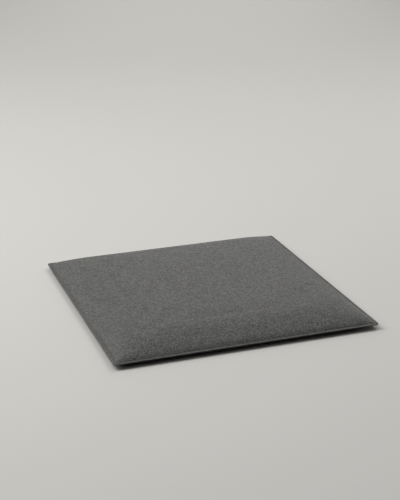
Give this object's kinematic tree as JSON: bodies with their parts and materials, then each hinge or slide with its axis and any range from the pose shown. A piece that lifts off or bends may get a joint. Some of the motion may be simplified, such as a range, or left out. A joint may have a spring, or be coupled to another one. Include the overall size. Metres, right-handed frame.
{
  "type": "back protector pad",
  "caption": "Square layered soft back protector pad: grained textile front cover with a crowned face and thin sewn flange, impact foam layers inside.",
  "frame": {"origin": "centre of the resting flat on the rear cover, under the middle of the pad", "axes": "+X across the width, +Y along the length, +Z out of the grained front face"},
  "size_m": [0.3, 0.3, 0.0218],
  "materials": {
    "front_textile": "fine pebble grain, low sheen",
    "rear_textile": "smooth close knit, matte",
    "impact_foam": "closed-cell foam, matte",
    "comfort_foam": "open-cell foam, matte",
    "thread": "twisted polyester, low sheen"
  },
  "bodies": {
    "root": {"front_cover": "front_textile", "rear_cover": "rear_textile", "front_impact_layer": "impact_foam", "middle_impact_layer": "impact_foam", "rear_impact_layer": "impact_foam", "comfort_layer": "comfort_foam", "needle_thread": "thread", "bobbin_thread": "thread"}
  },
  "joints": []
}
